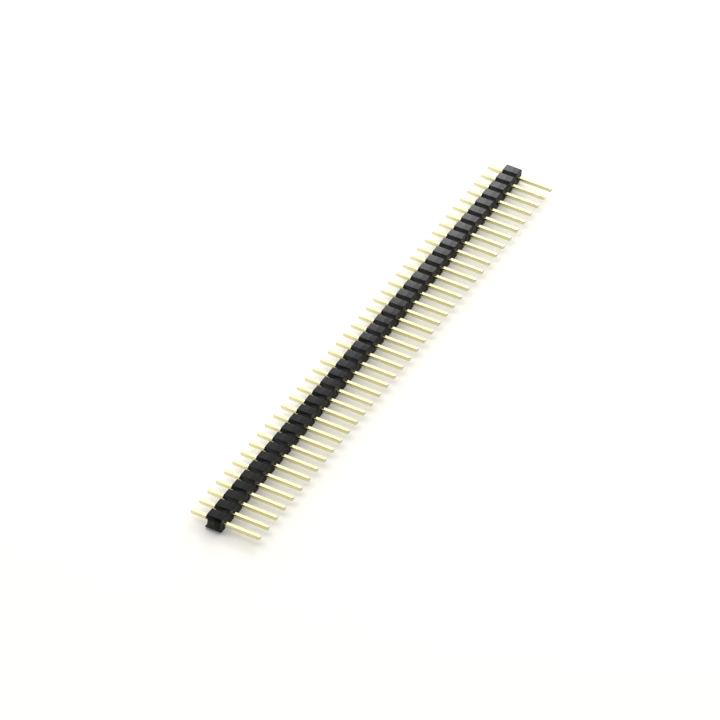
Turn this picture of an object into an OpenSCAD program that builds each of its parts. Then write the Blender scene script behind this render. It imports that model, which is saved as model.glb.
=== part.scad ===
// Straight single-row pin header, lying on its side as it comes to rest.
// X runs along the row, the mating posts point to -Y and the board tails to +Y.
// Z is up from the surface that the strip lies on. The origin is under the middle of the whole part.

/* [Row] */
// Number of pins in the row
pin_count = 40; // [1:1:54]
// Distance from one pin to the next, which is also the length of one insulator position
pitch = 2.54; // [2:0.01:5.08]

/* [Insulator] */
// Height of the insulator between its two grooved sides
insulator_h = 2.54; // [2.3:0.01:5]
// Depth of the insulator along the pins
insulator_d = 2.54; // [2:0.01:5]
// Leg of the 45 degree chamfers, two of which make each break groove
groove_leg = 0.5; // [0.1:0.01:0.7]
// Width of the channel along the board side that keeps solder and flux off the plastic
channel_w = 1.64; // [1:0.01:1.8]
// Depth of that channel
channel_d = 0.4; // [0.1:0.01:0.8]

/* [Pins] */
// Side of the square wire
wire_w = 0.64; // [0.45:0.01:0.8]
// Length of a mating post in front of the insulator, with its tip
post_l = 6.1; // [3:0.1:20]
// Length of a board tail behind the insulator, with its tip
tail_l = 3; // [2:0.1:10]
// Length of the four-sided taper at each end of a pin
tip_l = 0.25; // [0.1:0.01:1.2]
// Side of the square flat that is left at each end of a pin
tip_w = 0.44; // [0.1:0.01:0.44]

/* [Press fit] */
// Gap between the straight wire and its hole, on each side
hole_gap = 0.02; // [0.005:0.005:0.04]
// How far the coined swell stands out on each side of the wire, to bite into its hole
swell_rise = 0.06; // [0.05:0.005:0.1]
// Length of the coined swell along the pin
swell_l = 0.8; // [0.4:0.05:1]
// Length of the ramp at each end of the swell
swell_ramp = 0.15; // [0.05:0.01:0.19]

/* [Hidden] */
row_l = pin_count * pitch;
pin_l = post_l + insulator_d + tail_l;
pin_z = insulator_h / 2;
hole_w = wire_w + 2 * hole_gap;
// Places along Y, from the tip of the mating post to the tip of the board tail
post_tip_y = -pin_l / 2;
mating_face_y = post_tip_y + post_l;
board_face_y = mating_face_y + insulator_d;
tail_tip_y = board_face_y + tail_l;
// The swell sits halfway along the hole, between the mating face and the floor of the channel
hole_end_y = board_face_y - channel_d;
swell_y = (mating_face_y + hole_end_y) / 2;
// How far a cut runs past the face that it opens
overrun = 1;

function pin_name(i) = str("pin_", i < 10 ? "0" : "", i);
function pin_x(i) = (i - (pin_count + 1) / 2) * pitch;
function mirrored(side) = [for (i = [len(side) - 1:-1:0]) [-side[i][0], side[i][1]]];

// Lower edge of the insulator's outline: flat facets with half a break groove at each end of each
lower_edge = [
    for (i = [1:pin_count])
        each [
            [pin_x(i) - pitch / 2, groove_leg],
            [pin_x(i) - pitch / 2 + groove_leg, 0],
            [pin_x(i) + pitch / 2 - groove_leg, 0]
        ],
    [row_l / 2, groove_leg]
];
upper_edge = [for (i = [len(lower_edge) - 1:-1:0]) [lower_edge[i][0], insulator_h - lower_edge[i][1]]];

// Right half of the wire's tapered outline, from the mating tip to the board tip
tapered_side = [
    [tip_w / 2, post_tip_y],
    [wire_w / 2, post_tip_y + tip_l],
    [wire_w / 2, tail_tip_y - tip_l],
    [tip_w / 2, tail_tip_y]
];

// Right half of the coined swell's outline
swell_side = [
    [wire_w / 2, swell_y - swell_l / 2],
    [wire_w / 2 + swell_rise, swell_y - swell_l / 2 + swell_ramp],
    [wire_w / 2 + swell_rise, swell_y + swell_l / 2 - swell_ramp],
    [wire_w / 2, swell_y + swell_l / 2]
];

// Outline of a pin seen from above: the tapered wire with the swell on its two sides
pin_side = concat(
    [tapered_side[0], tapered_side[1]],
    swell_side,
    [tapered_side[2], tapered_side[3]]
);

// The two outlines cross at right angles, which gives four-sided tips
module pin_shape() {
    reach = wire_w + 2 * swell_rise + 2 * overrun;
    intersection() {
        linear_extrude(reach, center = true)
            polygon(concat(pin_side, mirrored(pin_side)));
        rotate([0, 90, 0])
            linear_extrude(reach, center = true)
                polygon(concat(tapered_side, mirrored(tapered_side)));
    }
}

module pin(i) {
    color("#e2cf95")
        translate([pin_x(i), 0, pin_z])
            pin_shape();
}

// A square hole with the pockets that the swell presses into its two side walls
module pin_hole() {
    translate([-hole_w / 2, mating_face_y - overrun, -hole_w / 2])
        cube([hole_w, insulator_d + 2 * overrun, hole_w]);
    linear_extrude(wire_w, center = true)
        polygon(concat(swell_side, mirrored(swell_side)));
}

module wash_channel() {
    translate([-row_l / 2 - overrun, hole_end_y, pin_z - channel_w / 2])
        cube([row_l + 2 * overrun, channel_d + overrun, channel_w]);
}

module insulator_strip() {
    color("#262523")
        difference() {
            translate([0, board_face_y, 0])
                rotate([90, 0, 0])
                    linear_extrude(insulator_d)
                        polygon(concat(lower_edge, upper_edge));
            wash_channel();
            for (i = [1:pin_count])
                translate([pin_x(i), 0, pin_z])
                    pin_hole();
        }
}

insulator_strip();
for (i = [1:pin_count]) pin(i);
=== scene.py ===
import math

import bpy
from mathutils import Matrix, Vector


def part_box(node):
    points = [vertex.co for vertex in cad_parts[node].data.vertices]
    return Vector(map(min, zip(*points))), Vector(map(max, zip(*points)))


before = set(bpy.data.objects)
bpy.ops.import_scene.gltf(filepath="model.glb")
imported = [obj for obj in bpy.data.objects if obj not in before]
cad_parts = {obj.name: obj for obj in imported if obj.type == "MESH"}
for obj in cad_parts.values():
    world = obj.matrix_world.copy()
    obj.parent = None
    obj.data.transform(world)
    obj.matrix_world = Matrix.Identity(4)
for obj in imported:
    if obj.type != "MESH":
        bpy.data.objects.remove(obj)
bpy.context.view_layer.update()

# The camera looks down along the row from its near end, through a long lens.
# Its place and tilt were fitted to the row's pitch as the photograph shows it.
mm = 0.001
view_azimuth = math.radians(-65.81)
view_elevation = math.radians(39.35)
view_roll = math.radians(5.1)
view_distance = 642.4 * mm
view_aim = Vector((-5.577, 0.728, 1.27)) * mm
lens_length = 209.5
sensor_width = 36

view_back = Vector((
    math.sin(view_azimuth) * math.cos(view_elevation),
    -math.cos(view_azimuth) * math.cos(view_elevation),
    math.sin(view_elevation),
))
camera_data = bpy.data.cameras.new("product_camera")
camera_data.sensor_width = sensor_width
camera_data.lens = lens_length
camera = bpy.data.objects.new("product_camera", camera_data)
bpy.context.scene.collection.objects.link(camera)
level_turn = (-view_back).to_track_quat("-Z", "Y")
camera.matrix_world = (
    Matrix.Translation(view_aim + view_back * view_distance)
    @ level_turn.to_matrix().to_4x4()
    @ Matrix.Rotation(view_roll, 4, "Z")
)
bpy.context.scene.camera = camera

# The insulator strip: one injection moulding in black glass-filled PBT, with a square hole for each pin.
# Its outer corners come out of the mould with small radii.
# The holes, the channel on the board side and the lips beside it keep sharp edges.
edge_radius = 0.04 * mm
hole_reach = 0.45 * mm
channel_reach = 0.45 * mm
channel_half = 0.9 * mm
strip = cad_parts["insulator_strip"]
strip_low, strip_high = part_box("insulator_strip")
pin_names = sorted(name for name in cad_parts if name.startswith("pin_"))
pin_centres = [sum(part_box(name), Vector()) / 2 for name in pin_names]


def round_edges(piece, radius, group=""):
    """Joins a piece's facets into whole faces and rounds its sharp edges, or those of a vertex group."""
    weld_gap = 0.0005 * mm
    flat_angle = math.radians(1)
    sharp_angle = math.radians(30)
    steps_round_an_edge = 2
    large_face_weight = 100
    weld = piece.modifiers.new("join_corners", "WELD")
    weld.merge_threshold = weld_gap
    flats = piece.modifiers.new("whole_faces", "DECIMATE")
    flats.decimate_type = "DISSOLVE"
    flats.angle_limit = flat_angle
    rounding = piece.modifiers.new("edge_radius", "BEVEL")
    rounding.width = radius
    rounding.segments = steps_round_an_edge
    rounding.use_clamp_overlap = False
    rounding.angle_limit = sharp_angle
    if group:
        rounding.limit_method = "VGROUP"
        rounding.vertex_group = group
    normals = piece.modifiers.new("flat_normals", "WEIGHTED_NORMAL")
    normals.weight = large_face_weight


outer_edges = strip.vertex_groups.new(name="outer_edges")
for vertex in strip.data.vertices:
    nearest = min(pin_centres, key=lambda centre: abs(centre.x - vertex.co.x))
    off_height = abs(vertex.co.z - nearest.z)
    off_axis = max(abs(vertex.co.x - nearest.x), off_height)
    in_channel = vertex.co.y > strip_high.y - channel_reach and off_height < channel_half
    if off_axis > hole_reach and not in_channel:
        outer_edges.add([vertex.index], 1.0, "REPLACE")
round_edges(strip, edge_radius, outer_edges.name)

# Black PBT with short glass fibres, moulded against spark-eroded steel: a deep neutral black with faint
# grey flecks along the flow. The skin's pits swallow most of a polished plastic's gloss and leave a satin
# sheen, which is duller on the two faces that the pins pass through.
cloud_size = 2.5 * mm
noise_low, noise_high = 0.3, 0.7
satin_low, satin_high = 0.16, 0.26
dull_rise = 0.24
side_from, side_full = 0.8, 0.95
# Real fibres are about 0.01 mm thick and the pits about 0.03 mm wide.
# Both are too fine to show, so they are drawn coarser.
fibre_length = 0.5 * mm
fibre_width = 0.07 * mm
fibre_from, fibre_full = 0.56, 0.72
fibre_strength = 0.5
grain_size = 0.16 * mm
grain_height = 0.004 * mm
# The mould halves meet near mid-depth, and their draft splits the sheen of each outer facet at that line.
parting_depth = 1.05 * mm
draft_slope = math.tan(math.radians(5.5))


def linear(hex_colour):
    """Turns an sRGB hex value into the linear colour that a shader takes."""
    channels = [int(hex_colour[i:i + 2], 16) / 255 for i in (1, 3, 5)]
    return [c / 12.92 if c <= 0.04045 else ((c + 0.055) / 1.055) ** 2.4 for c in channels] + [1.0]


def add_node(tree, kind, settings=None, links=None):
    """Adds a node, sets its properties and sockets, and links its sockets to other nodes' outputs."""
    node = tree.nodes.new(kind)
    for name, value in (settings or {}).items():
        if isinstance(name, str) and hasattr(node, name):
            setattr(node, name, value)
        else:
            node.inputs[name].default_value = value
    for name, output in (links or {}).items():
        tree.links.new(output, node.inputs[name])
    return node


pbt = bpy.data.materials.new("black_pbt_spark_eroded_mould")
pbt.use_nodes = True
tree = pbt.node_tree
shader = tree.nodes["Principled BSDF"]
place = add_node(tree, "ShaderNodeTexCoord").outputs["Object"]
clouds = add_node(
    tree, "ShaderNodeTexNoise", {"Scale": 1 / cloud_size, "Detail": 3.0}, {"Vector": place}
)
along_flow = add_node(
    tree,
    "ShaderNodeMapping",
    {"Scale": (1 / fibre_length, 1 / fibre_width, 1 / fibre_width)},
    {"Vector": place},
)
fibres = add_node(
    tree, "ShaderNodeTexNoise", {"Scale": 1.0, "Detail": 1.0}, {"Vector": along_flow.outputs["Vector"]}
)
grain = add_node(
    tree, "ShaderNodeTexNoise", {"Scale": 1 / grain_size, "Detail": 3.0}, {"Vector": place}
)
fibre_share = add_node(
    tree,
    "ShaderNodeMapRange",
    {"From Min": fibre_from, "From Max": fibre_full, "To Max": fibre_strength},
    {"Value": fibres.outputs["Fac"]},
)
black = add_node(
    tree,
    "ShaderNodeMix",
    {"data_type": "RGBA", 6: linear("#0f0f0f"), 7: linear("#161616")},
    {0: clouds.outputs["Fac"]},
)
flecked_black = add_node(
    tree,
    "ShaderNodeMix",
    {"data_type": "RGBA", 7: linear("#252423")},
    {0: fibre_share.outputs["Result"], 6: black.outputs[2]},
)
satin = add_node(
    tree,
    "ShaderNodeMapRange",
    {"From Min": noise_low, "From Max": noise_high, "To Min": satin_low, "To Max": satin_high},
    {"Value": grain.outputs["Fac"]},
)
facing = add_node(tree, "ShaderNodeNewGeometry")
facing_parts = add_node(tree, "ShaderNodeSeparateXYZ", {}, {"Vector": facing.outputs["True Normal"]})
along_pins = add_node(tree, "ShaderNodeMath", {"operation": "ABSOLUTE"}, {0: facing_parts.outputs["Y"]})
dull_share = add_node(
    tree,
    "ShaderNodeMapRange",
    {"From Min": side_from, "From Max": side_full, "To Max": dull_rise},
    {"Value": along_pins.outputs["Value"]},
)
skin = add_node(
    tree,
    "ShaderNodeMath",
    {"operation": "ADD"},
    {0: satin.outputs["Result"], 1: dull_share.outputs["Result"]},
)
depth = add_node(tree, "ShaderNodeSeparateXYZ", {}, {"Vector": place})
from_parting = add_node(
    tree,
    "ShaderNodeMath",
    {"operation": "SUBTRACT", 1: strip_low.y + parting_depth},
    {0: depth.outputs["Y"]},
)
off_parting = add_node(tree, "ShaderNodeMath", {"operation": "ABSOLUTE"}, {0: from_parting.outputs["Value"]})
grain_relief = add_node(
    tree, "ShaderNodeMath", {"operation": "MULTIPLY", 1: grain_height}, {0: grain.outputs["Fac"]}
)
mould_relief = add_node(
    tree,
    "ShaderNodeMath",
    {"operation": "MULTIPLY_ADD", 1: -draft_slope},
    {0: off_parting.outputs["Value"], 2: grain_relief.outputs["Value"]},
)
moulded = add_node(
    tree, "ShaderNodeBump", {"Strength": 1.0, "Distance": 1.0}, {"Height": mould_relief.outputs["Value"]}
)
shader.inputs["IOR"].default_value = 1.5
shader.inputs["Specular IOR Level"].default_value = 0.1
tree.links.new(flecked_black.outputs[2], shader.inputs["Base Color"])
tree.links.new(skin.outputs["Value"], shader.inputs["Roughness"])
tree.links.new(moulded.outputs["Normal"], shader.inputs["Normal"])
strip.data.materials.clear()
strip.data.materials.append(pbt)

# The pins: square brass wire, drawn, cut and coined to a short four-sided taper at each end.
# They have a gold flash over nickel. Each is pressed through the strip.
wire_edge_radius = 0.07 * mm
pin_end_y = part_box(pin_names[0])[1].y

# A thin gold flash over bright nickel on drawn wire: pale yellow, near white where the light falls on it.
# The fine lines of the drawing die run along the wire and spread its gloss a little.
# The coined tapers are a little greyer.
tone_size = 5 * mm
grey_from, grey_full = 0.36 * mm, 0.15 * mm
drawn_low, drawn_high = 0.1, 0.15
# Real die lines are about 0.01 mm wide, too fine to show, so they are drawn coarser.
die_line_width = 0.06 * mm
die_line_length = 4 * mm
die_line_height = 0.0012 * mm

gold = bpy.data.materials.new("gold_flash_drawn_brass_wire")
gold.use_nodes = True
tree = gold.node_tree
shader = tree.nodes["Principled BSDF"]
place = add_node(tree, "ShaderNodeTexCoord").outputs["Object"]
along_wire = add_node(
    tree,
    "ShaderNodeMapping",
    {"Scale": (1 / die_line_width, 1 / die_line_length, 1 / die_line_width)},
    {"Vector": place},
)
die_lines = add_node(
    tree, "ShaderNodeTexNoise", {"Scale": 1.0, "Detail": 2.0}, {"Vector": along_wire.outputs["Vector"]}
)
tones = add_node(
    tree, "ShaderNodeTexNoise", {"Scale": 1 / tone_size, "Detail": 2.0}, {"Vector": place}
)
length = add_node(tree, "ShaderNodeSeparateXYZ", {}, {"Vector": place})
off_middle = add_node(tree, "ShaderNodeMath", {"operation": "ABSOLUTE"}, {0: length.outputs["Y"]})
taper_share = add_node(
    tree,
    "ShaderNodeMapRange",
    {"From Min": pin_end_y - grey_from, "From Max": pin_end_y - grey_full},
    {"Value": off_middle.outputs["Value"]},
)
flash = add_node(
    tree,
    "ShaderNodeMix",
    {"data_type": "RGBA", 6: linear("#e3deb5"), 7: linear("#dad4a7")},
    {0: tones.outputs["Fac"]},
)
flash_and_tapers = add_node(
    tree,
    "ShaderNodeMix",
    {"data_type": "RGBA", 7: linear("#d4cfb8")},
    {0: taper_share.outputs["Result"], 6: flash.outputs[2]},
)
drawn = add_node(
    tree,
    "ShaderNodeMapRange",
    {"From Min": noise_low, "From Max": noise_high, "To Min": drawn_low, "To Max": drawn_high},
    {"Value": die_lines.outputs["Fac"]},
)
line_relief = add_node(
    tree, "ShaderNodeMath", {"operation": "MULTIPLY", 1: die_line_height}, {0: die_lines.outputs["Fac"]}
)
lined = add_node(
    tree, "ShaderNodeBump", {"Strength": 1.0, "Distance": 1.0}, {"Height": line_relief.outputs["Value"]}
)
shader.inputs["Metallic"].default_value = 1.0
tree.links.new(flash_and_tapers.outputs[2], shader.inputs["Base Color"])
tree.links.new(drawn.outputs["Result"], shader.inputs["Roughness"])
tree.links.new(lined.outputs["Normal"], shader.inputs["Normal"])
for name in pin_names:
    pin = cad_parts[name]
    round_edges(pin, wire_edge_radius)
    pin.data.materials.clear()
    pin.data.materials.append(gold)

# The floor: a wide sheet of white card, laid flat just under the strip's facets.
# Pressed card is matt, so the strip's shadow shows soft on it and nothing mirrors in it.
# A part of its white shows to the eye and in the metal as it is, and the lamps give the rest.
floor_size = 6.0
floor_drop = 0.02 * mm
own_white = 0.13

bpy.ops.mesh.primitive_plane_add(size=floor_size, location=(0, 0, -floor_drop))
floor = bpy.context.object
floor.name = "floor"
card = bpy.data.materials.new("white_card_pressed_matt")
card.use_nodes = True
tree = card.node_tree
tree.nodes.remove(tree.nodes["Principled BSDF"])
ray = add_node(tree, "ShaderNodeLightPath")
seen = add_node(
    tree,
    "ShaderNodeMath",
    {"operation": "MAXIMUM"},
    {0: ray.outputs["Is Camera Ray"], 1: ray.outputs["Is Glossy Ray"]},
)
seen_all = add_node(
    tree,
    "ShaderNodeMath",
    {"operation": "MAXIMUM"},
    {0: seen.outputs["Value"], 1: ray.outputs["Is Transmission Ray"]},
)
own_light = add_node(
    tree, "ShaderNodeMath", {"operation": "MULTIPLY", 1: own_white}, {0: seen_all.outputs["Value"]}
)
matt = add_node(tree, "ShaderNodeBsdfDiffuse", {"Color": linear("#fbf8f0")})
shine = add_node(tree, "ShaderNodeEmission", {}, {"Strength": own_light.outputs["Value"]})
both = add_node(tree, "ShaderNodeAddShader", {}, {0: matt.outputs["BSDF"], 1: shine.outputs["Emission"]})
tree.links.new(both.outputs["Shader"], tree.nodes["Material Output"].inputs["Surface"])
floor.data.materials.append(card)

# The light: one very wide soft light, high and towards the far end and the board tails, in a dim room.
# Two small round panels beyond the far end stand left and right of what the pins' flat tops mirror,
# so they gloss the drafted plastic and leave the gold its colour.
key_towards = Vector((0.48, 0.48, 0.82))
key_spread = math.radians(120)
key_energy = 3.5
panel_aim = Vector((58, 1.5, 2.5)) * mm
panel_sides = {"left": Vector((0.705, 0.5, 0.51)), "right": Vector((0.705, 0.12, 0.7))}
panel_distance = 260 * mm
panel_size = 68 * mm
panel_power = 0.125

key_light = bpy.data.lights.new("overhead_softbox", "SUN")
key_light.energy = key_energy
key_light.angle = key_spread
key = bpy.data.objects.new("overhead_softbox", key_light)
key.rotation_mode = "QUATERNION"
key.rotation_quaternion = key_towards.to_track_quat("Z", "Y")
bpy.context.scene.collection.objects.link(key)

for side, towards in panel_sides.items():
    panel_light = bpy.data.lights.new("far_end_panel_" + side, "AREA")
    panel_light.shape = "DISK"
    panel_light.energy = panel_power
    panel_light.size = panel_size
    panel = bpy.data.objects.new("far_end_panel_" + side, panel_light)
    panel.location = panel_aim + towards.normalized() * panel_distance
    panel.rotation_mode = "QUATERNION"
    panel.rotation_quaternion = towards.to_track_quat("Z", "Y")
    panel.visible_camera = False
    bpy.context.scene.collection.objects.link(panel)

# The room: a plain white backdrop to the camera, which lights the strip only dimly.
# In glossy surfaces it mirrors a little brighter than it lights.
room_strength = 0.05
mirrored_room = 0.15

world = bpy.data.worlds.new("studio")
world.use_nodes = True
tree = world.node_tree
ray = add_node(tree, "ShaderNodeLightPath")
in_metal = add_node(
    tree,
    "ShaderNodeMath",
    {"operation": "MULTIPLY_ADD", 1: mirrored_room - room_strength, 2: room_strength},
    {0: ray.outputs["Is Glossy Ray"]},
)
backdrop = add_node(
    tree,
    "ShaderNodeMath",
    {"operation": "MAXIMUM"},
    {0: ray.outputs["Is Camera Ray"], 1: in_metal.outputs["Value"]},
)
room = tree.nodes["Background"]
room.inputs["Color"].default_value = linear("#ffffff")
tree.links.new(backdrop.outputs["Value"], room.inputs["Strength"])
bpy.context.scene.world = world
bpy.context.scene.view_settings.view_transform = "Standard"
